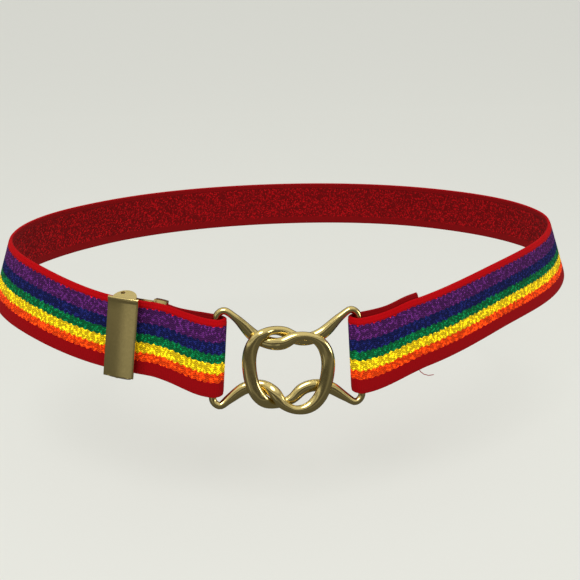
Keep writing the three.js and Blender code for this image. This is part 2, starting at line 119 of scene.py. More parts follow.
PIN_HOLLOW = 1.4
FRAME_METAL = 0.8
CRIMP_FROM = 12.4
CRIMP_TO = 18.9
TOOTH_PITCH = 2.0
TOOTH_TALL = 0.8
JAW_HALF = 17.0
JAW_LEAD = 0.6
STITCH_PITCH = 2.6
STITCH_RISE = 0.35
STITCH_R = 0.3
THREAD_R = 0.22
LOOP_STEP = 2.2
END_STEP = 1.6
FOLD_STEPS = 18
CLASP_STEPS = 176

# Degrees round the plan from the front, height as a share of SIDE_RISE, and lean in degrees
STATIONS = (
    (-180, 0.86, 22),
    (-135, 0.92, 23),
    (-90, 1.0, 23),
    (-62, 0.87, 20),
    (-40, 0.565, 15),
    (-27, 0.455, 18),
    (-16, 0.31, 20.5),
    (-5.4, -0.035, 21),
    (7, 0.17, 19.5),
    (20, 0.36, 15),
    (40, 0.73, 12),
    (62, 0.87, 19),
    (90, 0.96, 26),
    (135, 0.89, 25),
)
RISE = 1
LEAN = 2


def lerp(a, b, share):
    return a + (b - a) * share


def smoothstep(x, low, high):
    t = min(max((x - low) / (high - low), 0), 1)
    return t * t * (3 - 2 * t)


def station(column, at):
    """A column of STATIONS at any angle, on a smooth closed curve through its rows."""
    n = len(STATIONS)
    angle = (at + 180) % 360 - 180
    i = max(k for k in range(n) if STATIONS[k][0] <= angle)
    rows = [(STATIONS[k % n][0] + k // n * 360, STATIONS[k % n][column]) for k in range(i - 1, i + 3)]
    (at_a, a), (at_b, b), (at_c, c), (at_d, d) = rows
    slope_b = (c - a) / (at_c - at_a)
    slope_c = (d - b) / (at_d - at_b)
    h = at_c - at_b
    u = (angle - at_b) / h
    rest = 1 - u
    bend = h * (slope_b * u * rest * rest - slope_c * u * u * rest)
    return b * (1 + 2 * u) * rest * rest + c * u * u * (3 - 2 * u) + bend


def waist_point(at):
    """A point of the belt's middle line, on the outer face, at an angle round the plan."""
    t = math.radians(at)
    depth = FRONT_DEPTH if math.cos(t) > 0 else BACK_DEPTH
    return Vector((HALF_WIDTH * math.sin(t), -depth * math.cos(t), SIDE_RISE * station(RISE, at)))


WALK_STEP = 0.5
walk = [(CLASP_AT, 0.0)]
for k in range(720):
    here = CLASP_AT + k * WALK_STEP
    step = (waist_point(here + WALK_STEP) - waist_point(here)).length
    walk.append((here + WALK_STEP, walk[-1][1] + step))
LOOP_LENGTH = walk[-1][1]


def angle_at(s):
    along = s % LOOP_LENGTH
    low, high = 0, len(walk) - 1
    while high - low > 1:
        middle = (low + high) // 2
        if walk[middle][1] > along:
            high = middle
        else:
            low = middle
    share = (along - walk[low][1]) / (walk[high][1] - walk[low][1])
    return lerp(walk[low][0], walk[high][0], share)


def frame_from(point, along, out_guess):
    """A matrix whose x runs along the strap, y across it and z out of its face."""
    a = along.normalized()
    out = (out_guess - a * out_guess.dot(a)).normalized()
    matrix = Matrix((a, out.cross(a), out)).transposed().to_4x4()
    matrix.translation = point
    return matrix


def waist_frame(s):
    """The frame round the waist, at a distance along the belt from the clasp's centre."""
    at = angle_at(s)
    along = (waist_point(at + WALK_STEP) - waist_point(at - WALK_STEP)).normalized()
    level = Vector((along.y, -along.x, 0)).normalized()
    lean = math.radians(station(LEAN, at))
    out = level * math.cos(lean) + level.cross(along) * math.sin(lean)
    return frame_from(waist_point(at), along, out)


FOLD_RADIUS = BAR_DEEP / 2 + GAP + STRAP_THICK / 2
BAR_SINK = STRAP_THICK / 2 + FOLD_RADIUS
CLASP_HOME = waist_frame(0)
CLASP_HOME.translation = CLASP_HOME @ Vector((0, 0, -BAR_SINK))


def half_point(side, u, v):
    """A point of one clasp half in the clasp's frame: u towards its ring bar, v up; side -1 is the left."""
    x = u * math.cos(HALF_TURN) + v * math.sin(HALF_TURN)
    y = -u * math.sin(HALF_TURN) + v * math.cos(HALF_TURN)
    return -side * x, y + side * HALF_SHIFT


def turned_slot(side, u, v):
    """Turns a half's slot end, and less of its arms, round the middle of the slot bar."""
    turn = BAR_TURNS[side] * smoothstep(-u, RING_REACH, SLOT_AT - SLOT_CORNER)
    inward = u + SLOT_AT
    return (
        inward * math.cos(turn) - v * math.sin(turn) - SLOT_AT,
        inward * math.sin(turn) + v * math.cos(turn),
    )


def bar_frame(side):
    """The frame where the strap leaves a slot bar, on the strap's outer face."""

    def at(inward, up):
        x, y = half_point(side, *turned_slot(side, inward - SLOT_AT, up))
        return CLASP_HOME @ Vector((x, y, -x * x / (2 * CLASP_BEND)))

    along = (at(-1, 0) - at(1, 0)) * side
    across = at(0, 1) - at(0, -1)
    matrix = frame_from(at(0, 0), along, along.cross(across))
    matrix.translation = matrix @ Vector((0, 0, BAR_SINK))
    return matrix


BAR_FRAMES = {side: bar_frame(side) for side in (-1, 1)}


def near_way(s):
    """A place along the belt as the shorter way from the clasp's centre, below 0 on the left."""
    return (s + LOOP_LENGTH / 2) % LOOP_LENGTH - LOOP_LENGTH / 2


def spread(run):
    """How many times its own width the strap is, near a bar where the webbing is folded."""
    return 1 + END_SPREAD / STRAP_WIDTH * (1 - smoothstep(run, HOLD, SPREAD_TO))


def strap_frame(s):
    """The frame on the strap's outer face, straight off its bar at first and then round the waist."""
    near = near_way(s)
    side = 1 if near > 0 else -1
    run = abs(near) - SLOT_AT
    waist = waist_frame(near)
    share = smoothstep(run, HOLD, RELEASE)
    if share == 1:
        return waist
    bar = BAR_FRAMES[side]
    point = (bar @ Vector((side * run, PULL * max(run, 0), 0))).lerp(waist.translation, share)
    along = bar.col[0].xyz.lerp(waist.col[0].xyz, share)
    out = bar.col[2].xyz.lerp(waist.col[2].xyz, share)
    return frame_from(point, along, out)


ADJUSTER = strap_frame(ADJUSTER_AT) @ Matrix.Rotation(ADJUSTER_TURN, 4, "Z")

FRONT_SINK = STRAP_THICK / 2
BACK_SINK = FRONT_SINK + 2 * FOLD_RADIUS
PLATE_UNDER = STRAP_THICK + CLAMP_GAP + FRAME_METAL
CRIMP_SINK = PLATE_UNDER + CLAMP_GAP + STRAP_THICK / 2
HEM_SINK = FRONT_SINK + STRAP_THICK + GAP


def route_place(s, rise, sink, turn=0.0):
    wide = Matrix.Scale(spread(abs(near_way(s)) - SLOT_AT), 4, (0, 1, 0))
    return strap_frame(s) @ Matrix.Translation((0, rise, -sink)) @ Matrix.Rotation(turn, 4, "Y") @ wide


def strap_end(side, free_run, free_rise, free_sink, settle_to):
    """Places of one folded end, from its free end to the start of the front layer."""
    places = []
    steps = math.ceil(free_run / END_STEP)
    for i in range(steps + 1):
        run = lerp(free_run, -FOLD_SLACK, i / steps)
        settled = smoothstep(run, HOLD, settle_to)
        rise = lerp(BACK_RISE, free_rise, settled)
        sink = lerp(BACK_SINK, free_sink, settled)
        places.append(route_place(side * (SLOT_AT + run), rise, sink, math.pi))
    bar = BAR_FRAMES[side]
    wide = Matrix.Scale(spread(0), 4, (0, 1, 0))
    for i in range(1, FOLD_STEPS + 1):
        back = 1 - i / FOLD_STEPS
        centre = Matrix.Translation((-side * FOLD_SLACK, BACK_RISE * back, -BAR_SINK))
        spin = Matrix.Rotation(-side * math.pi * back, 4, "Y") @ Matrix.Translation((0, 0, FOLD_RADIUS))
        places.append(bar @ centre @ spin @ wide)
    return places


def strap_places():
    """Places down the whole strap, from the raw end in the crimp to the end of the hem."""
    raw_run = -ADJUSTER_AT - SLOT_AT - CRIMP_FROM - FRAME_METAL - CLAMP_GAP
    crimp_run = -ADJUSTER_AT - SLOT_AT - CRIMP_TO
    left = strap_end(-1, raw_run, 0, CRIMP_SINK, crimp_run - STRAP_THICK)
    right = strap_end(1, HEM_LENGTH, BACK_RISE, HEM_SINK, HEM_LENGTH / 2)
    start = SLOT_AT - FOLD_SLACK
    length = LOOP_LENGTH - 2 * start
    steps = math.ceil(length / LOOP_STEP)
    middle = [route_place(-start - length * i / steps, 0, FRONT_SINK) for i in range(1, steps)]
    return left + middle + right[::-1]


# Mesh helpers


def sweep(bm, section, places, closed=False):
    """Extrudes a closed section through places; closed joins the last place to the first."""
    verts = [bm.verts.new(places[0] @ Vector(p)) for p in section]
    edges = [bm.edges.new((verts[i - 1], verts[i])) for i in range(len(verts))]
    rings = [verts]
    stops = places[1:] + places[:1] if closed else places[1:]
    previous = places[0]
    for place in stops:
        grown = bmesh.ops.extrude_edge_only(bm, edges=edges)["geom"]
        verts = [g for g in grown if isinstance(g, bmesh.types.BMVert)]
        new = set(verts)
        edges = [g for g in grown if isinstance(g, bmesh.types.BMEdge) and all(v in new for v in g.verts)]
        bmesh.ops.transform(bm, matrix=place @ previous.inverted(), verts=verts)
        rings.append(verts)
        previous = place
    if closed:
        bmesh.ops.remove_doubles(bm, verts=rings[0] + rings[-1], dist=1e-5)
    else:
        bmesh.ops.contextual_create(bm, geom=rings[0])
        bmesh.ops.contextual_create(bm, geom=rings[-1])
    return rings


def bevel(bm, edges, offset, segments):
    """Rounds edges off."""
    bmesh.ops.bevel(
        bm,
        geom=edges,
        offset=offset,
        segments=segments,
        profile=0.5,
        affect="EDGES",
        material=-1,
        clamp_overlap=True,
    )


def round_sharp(bm, offset, segments):
    """Rounds off the edges that turn by more than 50 degrees."""
    sharp = [e for e in bm.edges if len(e.link_faces) == 2 and e.calc_face_angle() > math.radians(50)]
    bevel(bm, sharp, offset, segments)


def piece(name, bm, body, material, nodes=(), smooth=50):
    """Turns a bmesh in millimetres into a finished piece in metres that rides on a body."""
    bmesh.ops.scale(bm, vec=(MM, MM, MM), verts=bm.verts)
    bmesh.ops.recalc_face_normals(bm, faces=bm.faces)
    mesh = bpy.data.meshes.new(name)
    bm.to_mesh(mesh)
    bm.free()
    mesh.shade_smooth()
    mesh.set_sharp_from_angle(angle=math.radians(smooth))
    mesh.materials.append(material)
    obj = bpy.data.objects.new(name, mesh)
    bpy.context.scene.collection.objects.link(obj)
    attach(obj, body)
    if nodes:
        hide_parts(*nodes)
    return obj


# Materials


def add(tree, kind, inputs, **settings):
    """Adds a node, sets its settings, and links or sets its inputs."""
    made = tree.nodes.new(kind)
    for key, value in settings.items():
        setattr(made, key, value)
    for key, value in inputs.items():
        if isinstance(value, bpy.types.NodeSocket):
            tree.links.new(value, made.inputs[key])
        else:
            made.inputs[key].default_value = value
    return made


def new_material(name):
    material = bpy.data.materials.new(name)
    material.use_nodes = True
    material.node_tree.nodes.clear()
    return material, material.node_tree


def calc(tree, operation, *values):
    """A sum's result."""
    return add(tree, "ShaderNodeMath", dict(enumerate(values)), operation=operation).outputs[0]


def remap(tree, value, low, high, to_low=0.0, to_high=1.0):
    """A value moved from one range to another, and kept in it."""
    inputs = {"Value": value, "From Min": low, "From Max": high, "To Min": to_low, "To Max": to_high}
    return add(tree, "ShaderNodeMapRange", inputs).outputs[0]


def webbing_material(look):
    """Woven polyester over elastic: matt, with rounded zigzag yarns and painted shade in the gaps between
    them.
    """
    material, tree = new_material("woven_elastic")
    along, across, front = (
        add(tree, "ShaderNodeAttribute", {}, attribute_name=name).outputs["Fac"]
        for name in ("along", "across", "front")
    )
    cloth = add(tree, "ShaderNodeCombineXYZ", {"X": along, "Y": across, "Z": front}).outputs[0]
    # Noise in millimetres: the yarns' tension wanders over 1 to 3 mm
    drift = add(tree, "ShaderNodeTexNoise", {"Vector": cloth, "Scale": 0.45, "Detail": 2.0}).outputs["Fac"]
    way = calc(tree, "MULTIPLY_ADD", drift, look.wander, along)

    # The yarns' zigzag is full in the coloured middle and dies out in the red edges
    upper = remap(tree, across, 15.4, 15.8, 1.0, 0.0)
    lower = remap(tree, across, -12.4, -11.2)
    middle = calc(tree, "MULTIPLY", upper, lower)
    swing = calc(tree, "PINGPONG", way, look.wave_period / 2)
    slope = 2 * look.wave_height / look.wave_period
    zigzag = calc(tree, "MULTIPLY_ADD", swing, slope, -look.wave_height / 2)
    waved = calc(tree, "MULTIPLY_ADD", zigzag, middle, across)

    # Each yarn is in rows one above the other, and comes up in short floats, offset from row to row
    row = calc(tree, "DIVIDE", waved, look.row_spacing)
    row_id = calc(tree, "FLOOR", row)
    leg = calc(tree, "MULTIPLY_ADD", row_id, 0.5, calc(tree, "DIVIDE", way, look.wave_period / 4))
    leg_id = calc(tree, "FLOOR", leg)
    cell = add(tree, "ShaderNodeCombineXYZ", {"X": row_id, "Y": leg_id}).outputs[0]
    chance = add(tree, "ShaderNodeTexWhiteNoise", {"Vector": cell}, noise_dimensions="2D")
    fleck = add(tree, "ShaderNodeSeparateXYZ", {"Vector": chance.outputs["Color"]}).outputs["Z"]
    centred = calc(tree, "SUBTRACT", chance.outputs["Value"], 0.5)
    strayed = calc(tree, "MULTIPLY", calc(tree, "POWER", centred, 3.0), 8 * look.stray)
    lookup = calc(tree, "MULTIPLY_ADD", strayed, middle, waved)

    # Stripes, bottom to top
    share = remap(tree, lookup, -STRAP_WIDTH / 2, STRAP_WIDTH / 2)
    ramp = add(tree, "ShaderNodeValToRGB", {"Fac": share})
    ramp.color_ramp.interpolation = "CONSTANT"
    stripes = (
        (0.0, look.low_red),
        (0.195, look.orange),
        (0.305, look.yellow),
        (0.44, look.green),
        (0.56, look.navy),
        (0.71, look.purple),
        (0.91, look.top_red),
    )
    for i, (start, colour) in enumerate(stripes):
        stop = ramp.color_ramp.elements[i] if i < 2 else ramp.color_ramp.elements.new(start)
        stop.position = start
        stop.color = (*colour, 1)
    # Inputs 6 and 7 are the mix's two colours
    mixed = {"Factor": front, 6: (*look.back_red, 1), 7: ramp.outputs["Color"]}
    face = add(tree, "ShaderNodeMix", mixed, data_type="RGBA").outputs[2]

    # Painted shade down into the gaps between the yarns and the troughs of the edge ribs, some floats
    # lighter at random, and a painted shadow in the groove beside the rolled top edge
    row_round = calc(tree, "PINGPONG", row, 0.5)
    leg_round = calc(tree, "PINGPONG", leg, 0.5)
    yarn = calc(tree, "MULTIPLY_ADD", leg_round, 0.7, row_round)
    rib = calc(tree, "PINGPONG", calc(tree, "DIVIDE", along, look.rib_spacing), 0.5)
    edge = calc(tree, "MULTIPLY_ADD", rib, 0.16, 0.5)
    relief = add(tree, "ShaderNodeMix", {"Factor": middle, "A": edge, "B": yarn}).outputs[0]
    # Painted shade: the colour is darkened where the yarns' relief is low, in the gaps and the rib troughs
    tone = remap(tree, relief, 0.08, 0.62, look.gap_painted_shade, 1.1)
    bright = calc(tree, "MULTIPLY", remap(tree, fleck, 0.55, 1.0, 0.0, look.fleck), middle)
    shade_and_flecks = calc(tree, "MULTIPLY", tone, calc(tree, "ADD", bright, 1.0))
    # Painted shadow: the colour within 0.5 mm of the groove beside the rolled top edge is darkened, down to
    # 0.6 at its middle
    beside = calc(tree, "ABSOLUTE", calc(tree, "SUBTRACT", across, 15.9))
    level = calc(tree, "MULTIPLY", shade_and_flecks, remap(tree, beside, 0.0, 0.5, 0.6, 1.0))
    colour = add(tree, "ShaderNodeVectorMath", {0: face, "Scale": level}, operation="SCALE")
    bump = add(tree, "ShaderNodeBump", {"Strength": 0.7, "Distance": 0.5 * MM, "Height": relief})
    shader = add(
        tree,
        "ShaderNodeBsdfPrincipled",
        {
            "Base Color": colour.outputs[0],
            "Roughness": 0.85,
            "Specular IOR Level": 0.12,
            "Normal": bump.outputs[0],
        },
    )
    add(tree, "ShaderNodeOutputMaterial", {"Surface": shader.outputs[0]})
    return material


def gold_material(name, look, roughness):
    """Polished gold-tone plate: mirror-like, with faint waves left by casting and polishing."""
    material, tree = new_material(name)
    place = add(tree, "ShaderNodeTexCoord", {}).outputs["Object"]
    # Object coordinates are metres: 260 gives waves of about 4 mm, and 900 a haze of about 1 mm
    waves = add(tree, "ShaderNodeTexNoise", {"Vector": place, "Scale": 260.0, "Detail": 2.0})
    haze = add(tree, "ShaderNodeTexNoise", {"Vector": place, "Scale": 900.0, "Detail": 3.0})
    rough = add(
        tree,
        "ShaderNodeMapRange",
        {"Value": haze.outputs["Fac"], "To Min": roughness * 0.6, "To Max": roughness * 1.5},
    )
    bump = add(
        tree,
        "ShaderNodeBump",
        {"Strength": 0.25, "Distance": 0.12 * MM, "Height": waves.outputs["Fac"]},
    )
    shader = add(
        tree,
        "ShaderNodeBsdfPrincipled",
        {
            "Base Color": (*look.gold, 1),
            "Metallic": 1.0,
            "Roughness": rough.outputs[0],
            "Normal": bump.outputs[0],
        },
    )
    add(tree, "ShaderNodeOutputMaterial", {"Surface": shader.outputs[0]})
    return material


def thread_material(look):
    """Twisted polyester sewing thread."""
    material, tree = new_material("sewing_thread")
    shader = add(
        tree,
        "ShaderNodeBsdfPrincipled",
        {"Base Color": (*look.low_red, 1), "Roughness": 0.7, "Sheen Weight": 0.2},
    )
    add(tree, "ShaderNodeOutputMaterial", {"Surface": shader.outputs[0]})
    return material


def floor_material(look):
    """Translucent board with light behind it, so that it is evenly pale, and matt."""
    material, tree = new_material("backlit_board")
    shader = add(
        tree,
        "ShaderNodeBsdfPrincipled",
        {
            "Base Color": (*(c * look.board_tone for c in look.floor), 1),
            "Roughness": 0.9,
            "Specular IOR Level": 0.2,
            "Emission Color": (*look.floor, 1),
            "Emission Strength": look.board_light,
        },
    )
    add(tree, "ShaderNodeOutputMaterial", {"Surface": shader.outputs[0]})
    return material


# Properties


def colour_property(name, text):
    return FloatVectorProperty(
        name=name,
        description=f"{name} in linear values",
        subtype="COLOR",
        min=0,
        max=1,
        default=linear(text),
    )


def amount_property(name, description, default, low=0, **limits):
    return FloatProperty(name=name, description=description, default=default, min=low, **limits)


class BeltWebbing(bpy.types.PropertyGroup):
    top_red: colour_property("Top red", "#BA0009")
    purple: colour_property("Purple", "#4C1C5A")
    navy: colour_property("Navy", "#141A52")
    green: colour_property("Green", "#046838")
    yellow: colour_property("Yellow", "#F6D012")
    orange: colour_property("Orange", "#FA4608")
    low_red: colour_property("Bottom red", "#960008")
    back_red: colour_property("Inner face", "#8C0309")
    row_spacing: amount_property("Row spacing", "Between rows of yarn, in mm", 1.0, low=0.2)
    wave_period: amount_property("Zigzag length", "Along the strap, in mm", 3.2, low=0.5)
    wave_height: amount_property("Zigzag height", "Across the strap, in mm", 0.9)
    rib_spacing: amount_property("Rib spacing", "Ribs in the red edges, in mm", 0.9, low=0.2)
    wander: amount_property("Wander", "Unevenness of the zigzag, in mm", 0.5)
    stray: amount_property("Stray", "How far odd floats take a next stripe's colour, in mm", 0.5)
    # Painted shade: how dark the colour is painted in the gaps between the yarns
    gap_painted_shade: amount_property("Gap", "Tone between the yarns", 0.15, max=1)
    fleck: amount_property("Fleck", "How much lighter some floats are", 2.2)


class BeltMetal(bpy.types.PropertyGroup):
    gold: colour_property("Gold tone", "#E2CD86")
    clasp_roughness: amount_property("Clasp roughness", "Of the clasp", 0.13, max=1)
    clamp_roughness: amount_property("Clamp roughness", "Of the clamp", 0.2, max=1)


class BeltStage(bpy.types.PropertyGroup):
    floor: colour_property("Floor", "#E9EAE3")
    board_tone: amount_property("Board tone", "Share of the lamps' light given back", 0.4)
    board_light: amount_property("Board light", "Of the light behind the board", 0.58)
    floor_height: FloatProperty(
        name="Floor height",
        description="Under the belt's front",
        default=-0.11,
        unit="LENGTH",
    )


# Pieces

# Half of the strap's section, from the middle of the face to the rolled edge: across and thickness
SELVEDGE = (
    (16.9, 1.2),
    (17.3, 1.14),
    (17.55, 0.98),
    (17.8, 1.02),
    (18.2, 1.06),
    (18.6, 0.9),
    (18.88, 0.52),
    (19.0, 0.0),
)


def strap_section():
    """The section's points round the strap, as (0, across, thickness)."""
    flat_half, flat_thick = SELVEDGE[0]
    columns = 22
    face = [-flat_half + 2 * flat_half * i / columns for i in range(columns + 1)]
    upper = list(SELVEDGE[1:])
    top = [(w, flat_thick) for w in face] + upper
    under = [(w, -t) for w, t in top[::-1] if t > 0]
    lower = [(-w, -t) for w, t in upper]
    rest = [(-w, t) for w, t in upper[::-1] if t > 0]
    return [(0, w, t) for w, t in top + under + lower + rest]


class BELT_OT_webbing(bpy.types.Operator):
    """Makes the striped elastic strap, folded round both clasp bars"""

    bl_idname = "belt.webbing"
    bl_label = "Webbing"

    def execute(self, context):
        bm = bmesh.new()
        layers = {name: bm.verts.layers.float.new(name) for name in ("along", "across", "front")}
        section = strap_section()
        places = strap_places()
        rings = sweep(bm, section, places)
        run = 0.0
        for i, (place, ring) in enumerate(zip(places, rings)):
            if i:
                run += (place.translation - places[i - 1].translation).length
            home = place.inverted()
            for v in ring:
                local = home @ v.co
                v[layers["along"]] = run
                v[layers["across"]] = local.y
                v[layers["front"]] = 1.0 if local.z > -0.5 else 0.0
        material = webbing_material(context.scene.belt_webbing)
        strap = piece("webbing", bm, "belt", material, ["strap"])
        return {"FINISHED"}


def strand_outline(neck):
    """One strand's centreline as (u, v): round ring bar, neck, arm, corner and slot bar."""
    slot_half = (STRAP_WIDTH + END_SPREAD + BAR_WIDE) / 2 + SLOT_ROOM
    strand = []
    for angle in (0, 18, 36, 54, 72, 90):
        c = max(math.cos(math.radians(angle)), 0) ** (2 / BIGHT_POWER)
        s = math.sin(math.radians(angle)) ** (2 / BIGHT_POWER)
        strand.append((BIGHT_AT + (RING_REACH - BIGHT_AT) * c, RING_HALF * s))
    strand.append((0, lerp(neck, RING_HALF, 0.77)))
    strand.append((-BIGHT_AT, lerp(neck, RING_HALF, 0.17)))
    strand.append((-0.58 * RING_REACH, neck))
    strand.append((-0.98 * RING_REACH, lerp(neck, slot_half, 0.16)))
    strand.append((-0.76 * SLOT_AT, lerp(neck, slot_half, 0.74)))
    for angle in (92, 122, 152, 180):
        turn = math.radians(angle)
        u = -SLOT_AT + SLOT_CORNER + SLOT_CORNER * math.cos(turn)
        v = slot_half - SLOT_CORNER + SLOT_CORNER * math.sin(turn)
        strand.append((u, v))
    strand.append((-SLOT_AT, slot_half / 3))
    return strand


def half_outline(side):
    """One half's centreline, top strand first and then the bottom one back to the ring bar."""
    top, bottom = (strand_outline(neck) for neck in NECKS[side])
    return [turned_slot(side, u, v) for u, v in top + [(u, -v) for u, v in bottom[:0:-1]]]


def closed_curve(points, steps):
    """Evenly spaced points on a closed centripetal curve through points."""
    fine = []
    n = len(points)
    for i in range(n):
        p = [points[(i + k) % n] for k in (-1, 0, 1, 2)]
        gaps = [(p[k + 1] - p[k]).length ** 0.5 for k in range(3)]
        before = (p[1] - p[0]) / gaps[0] - (p[2] - p[0]) / (gaps[0] + gaps[1]) + (p[2] - p[1]) / gaps[1]
        after = (p[2] - p[1]) / gaps[1] - (p[3] - p[1]) / (gaps[1] + gaps[2]) + (p[3] - p[2]) / gaps[2]
        for k in range(24):
            t = k / 24
            rest = 1 - t
            bend = before * gaps[1] * t * rest * rest - after * gaps[1] * t * t * rest
            fine.append(p[1] * (1 + 2 * t) * rest * rest + p[2] * t * t * (3 - 2 * t) + bend)
    lengths = [0.0]
    for i in range(len(fine)):
        lengths.append(lengths[-1] + (fine[(i + 1) % len(fine)] - fine[i]).length)
    even = []
    k = 0
    for i in range(steps):
        wanted = lengths[-1] * i / steps
        while lengths[k + 1] < wanted:
            k += 1
        share = (wanted - lengths[k]) / (lengths[k + 1] - lengths[k])
        even.append(fine[k].lerp(fine[(k + 1) % len(fine)], share))
    return even


def half_places(side):
    """Places round one clasp half, each scaled to the wire's half width and half depth there."""
    centre = []
    for u, v in half_outline(side):
        x, y = half_point(side, u, v)
        lift = (RING_DEEP + GAP) / 2
        front = side * (1 - 2 * smoothstep(x, WEAVE_FROM, WEAVE_TO))
        slot = smoothstep(-u, RING_REACH + BAR_WIDE, SLOT_AT - SLOT_CORNER)
        centre.append(Vector((x, y, lift * front * (1 - slot) - x * x / (2 * CLASP_BEND))))
    points = closed_curve(centre, CLASP_STEPS)
    places = []
    for i, p in enumerate(points):
        run = (points[(i + 1) % len(points)] - points[i - 1]).normalized()
        deep = (Vector((0, 0, 1)) - run * run.z).normalized()
        wide = deep.cross(run)
        u = -side * p.x * math.cos(HALF_TURN) - (p.y - side * HALF_SHIFT) * math.sin(HALF_TURN)
        bight = lerp(NECK_WIDE, BIGHT_WIDE, smoothstep(u, -BIGHT_AT, BIGHT_AT))
        loop = lerp(bight, RING_WIDE, smoothstep(u, BIGHT_AT, RING_REACH))
        arm = smoothstep(-u, RING_REACH, SLOT_AT - SLOT_CORNER)
        half_wide = lerp(loop, BAR_WIDE, arm) / 2
        half_deep = lerp(RING_DEEP, BAR_DEEP, arm) / 2
        matrix = Matrix((run, wide * half_wide, deep * half_deep)).transposed().to_4x4()
        matrix.translation = p
        places.append(CLASP_HOME @ matrix)
    return places


class BELT_OT_clasp(bpy.types.Operator):
    """Makes the two cast clasp halves"""

    bl_idname = "belt.clasp"
    bl_label = "Clasp"

    def execute(self, context):
        look = context.scene.belt_metal
        material = gold_material("polished_gold_cast", look, look.clasp_roughness)
        sides = 24
        for side, name in ((-1, "left"), (1, "right")):
            section = []
            for k in range(sides):
                angle = 2 * math.pi * k / sides
                section.append((0, math.cos(angle), math.sin(angle)))
            bm = bmesh.new()
            sweep(bm, section, half_places(side), closed=True)
            piece(f"clasp_{name}", bm, "belt", material, [f"buckle_{name}"], smooth=80)
        return {"FINISHED"}


# The lip's profile: how far in from the plate's top end, as a share of LIP_TALL, and the share of LIP_PROUD
LIP_ROWS = (
    (1.3, 0.0),
    (1.1, 0.1),
    (0.9, 0.5),
    (0.7, 0.95),
    (0.45, 1.0),
    (0.2, 0.95),
    (0.05, 0.45),
    (0, 0.0),
)


def lever_plate(bm):
    """The lever's front plate, crowned, with a raised lip along its top end."""
    steps = 14
    outline = []
    for i in range(steps + 1):
        share = 2 * i / steps - 1
        outline.append((share * LEVER_WIDE / 2, 0, LEVER_STAND - LEVER_CROWN * share * share))
    under = [(x, y, z - METAL) for x, y, z in outline[::-1]]
    section = outline + under
    # Two rows at the bottom end, ten even ones up the plate, and the lip's
    stations = [(-LEVER_TALL / 2, 0.0), (-LEVER_TALL / 2 + 0.6, 0.0)]
    stations += [(LEVER_TALL * (k / 12 - 0.5), 0.0) for k in range(1, 11)]
    stations += [(LEVER_TALL / 2 - inward * LIP_TALL, proud) for inward, proud in LIP_ROWS]
    places = [Matrix.Translation((0, y, proud * LIP_PROUD)) for y, proud in stations]
    sweep(bm, section, places)
    round_sharp(bm, 0.28, 3)


def lever_ear(bm, end):
    """A half-moon ear with the pivot's hole, flared out from one end of the lever."""
    splay = Vector((0, end * math.sin(EAR_SPLAY), -math.cos(EAR_SPLAY)))
    outward = Vector((0, end * math.cos(EAR_SPLAY), math.sin(EAR_SPLAY)))
    base = Vector((EAR_AT, end * LEVER_TALL / 2, LEVER_STAND - METAL / 2))
    home = Matrix((Vector((1, 0, 0)), splay, outward)).transposed().to_4x4()
    home.translation = base
    hole_down = (LEVER_STAND - METAL / 2 - PIVOT_Z) / math.cos(EAR_SPLAY)
    hole = Vector((PIVOT_X - EAR_AT, hole_down, 0))
    count = 36
    rings = []
    for radius in (PIVOT_R + GAP, None):
        verts = []
        for k in range(count):
            angle = 2 * math.pi * k / count
            way = Vector((math.cos(angle), math.sin(angle), 0))
            reach = radius or ear_reach(hole, way)
            verts.append(bm.verts.new(hole + way * reach))
        rings.append([bm.edges.new((verts[k - 1], verts[k])) for k in range(count)])
    faces = bmesh.ops.bridge_loops(bm, edges=rings[0] + rings[1])["faces"]
    grown = bmesh.ops.extrude_face_region(bm, geom=faces)["geom"]
    moved = [g for g in grown if isinstance(g, bmesh.types.BMVert)]
    bmesh.ops.translate(bm, vec=(0, 0, -EAR_METAL), verts=moved)
    verts = {v for f in faces for v in f.verts} | set(moved)
    bmesh.ops.transform(bm, matrix=home, verts=list(verts))


def ear_reach(hole, way):
    """How far the ear's edge is from its hole, in one direction of its own plane."""
    low, high = 0.0, 30.0
    for _ in range(30):
        middle = (low + high) / 2
        p = hole + way * middle
        inside = p.y > -EAR_METAL / 2 and (p.x / EAR_HALF) ** 2 + (max(p.y, 0) / EAR_LONG) ** 2 < 1
        low, high = (middle, high) if inside else (low, middle)
    return low


def lever_jaw(bm):
    """The toothed rib under the plate."""
    teeth = round(2 * JAW_HALF / TOOTH_PITCH)
    top = LEVER_STAND - METAL / 2
    outline = [(0, -JAW_HALF, top)]
    for i in range(teeth):
        y = -JAW_HALF + 2 * JAW_HALF * i / teeth
        outline.append((0, y, CLAMP_GAP + TOOTH_TALL))
        outline.append((0, y + JAW_HALF / teeth, CLAMP_GAP))
    outline += [(0, JAW_HALF, CLAMP_GAP + TOOTH_TALL), (0, JAW_HALF, top)]
    start = Matrix.Translation((PIVOT_X + JAW_LEAD, 0, 0))
    sweep(bm, outline, [start, start @ Matrix.Translation((METAL, 0, 0))])


def hollow_pins(bm):
    """Shortens and hollows the ends of the frame's pivot pins."""
    home = ADJUSTER.inverted()
    ends = []
    for f in bm.faces:
        spots = [home @ v.co for v in f.verts]
        if all(abs(p.y) > PIN_END - GAP and abs(p.z - PIVOT_Z) < PIVOT_R + 0.1 for p in spots):
            ends.append(f)

    def push_in(depth):
        for f in ends:
            inward = -math.copysign(depth, (home @ f.verts[0].co).y)
            bmesh.ops.translate(bm, vec=ADJUSTER.to_3x3() @ Vector((0, inward, 0)), verts=f.verts)

    push_in(PIN_SHORT)
    bmesh.ops.inset_individual(bm, faces=ends, thickness=PIN_RIM)
    push_in(PIN_HOLLOW)


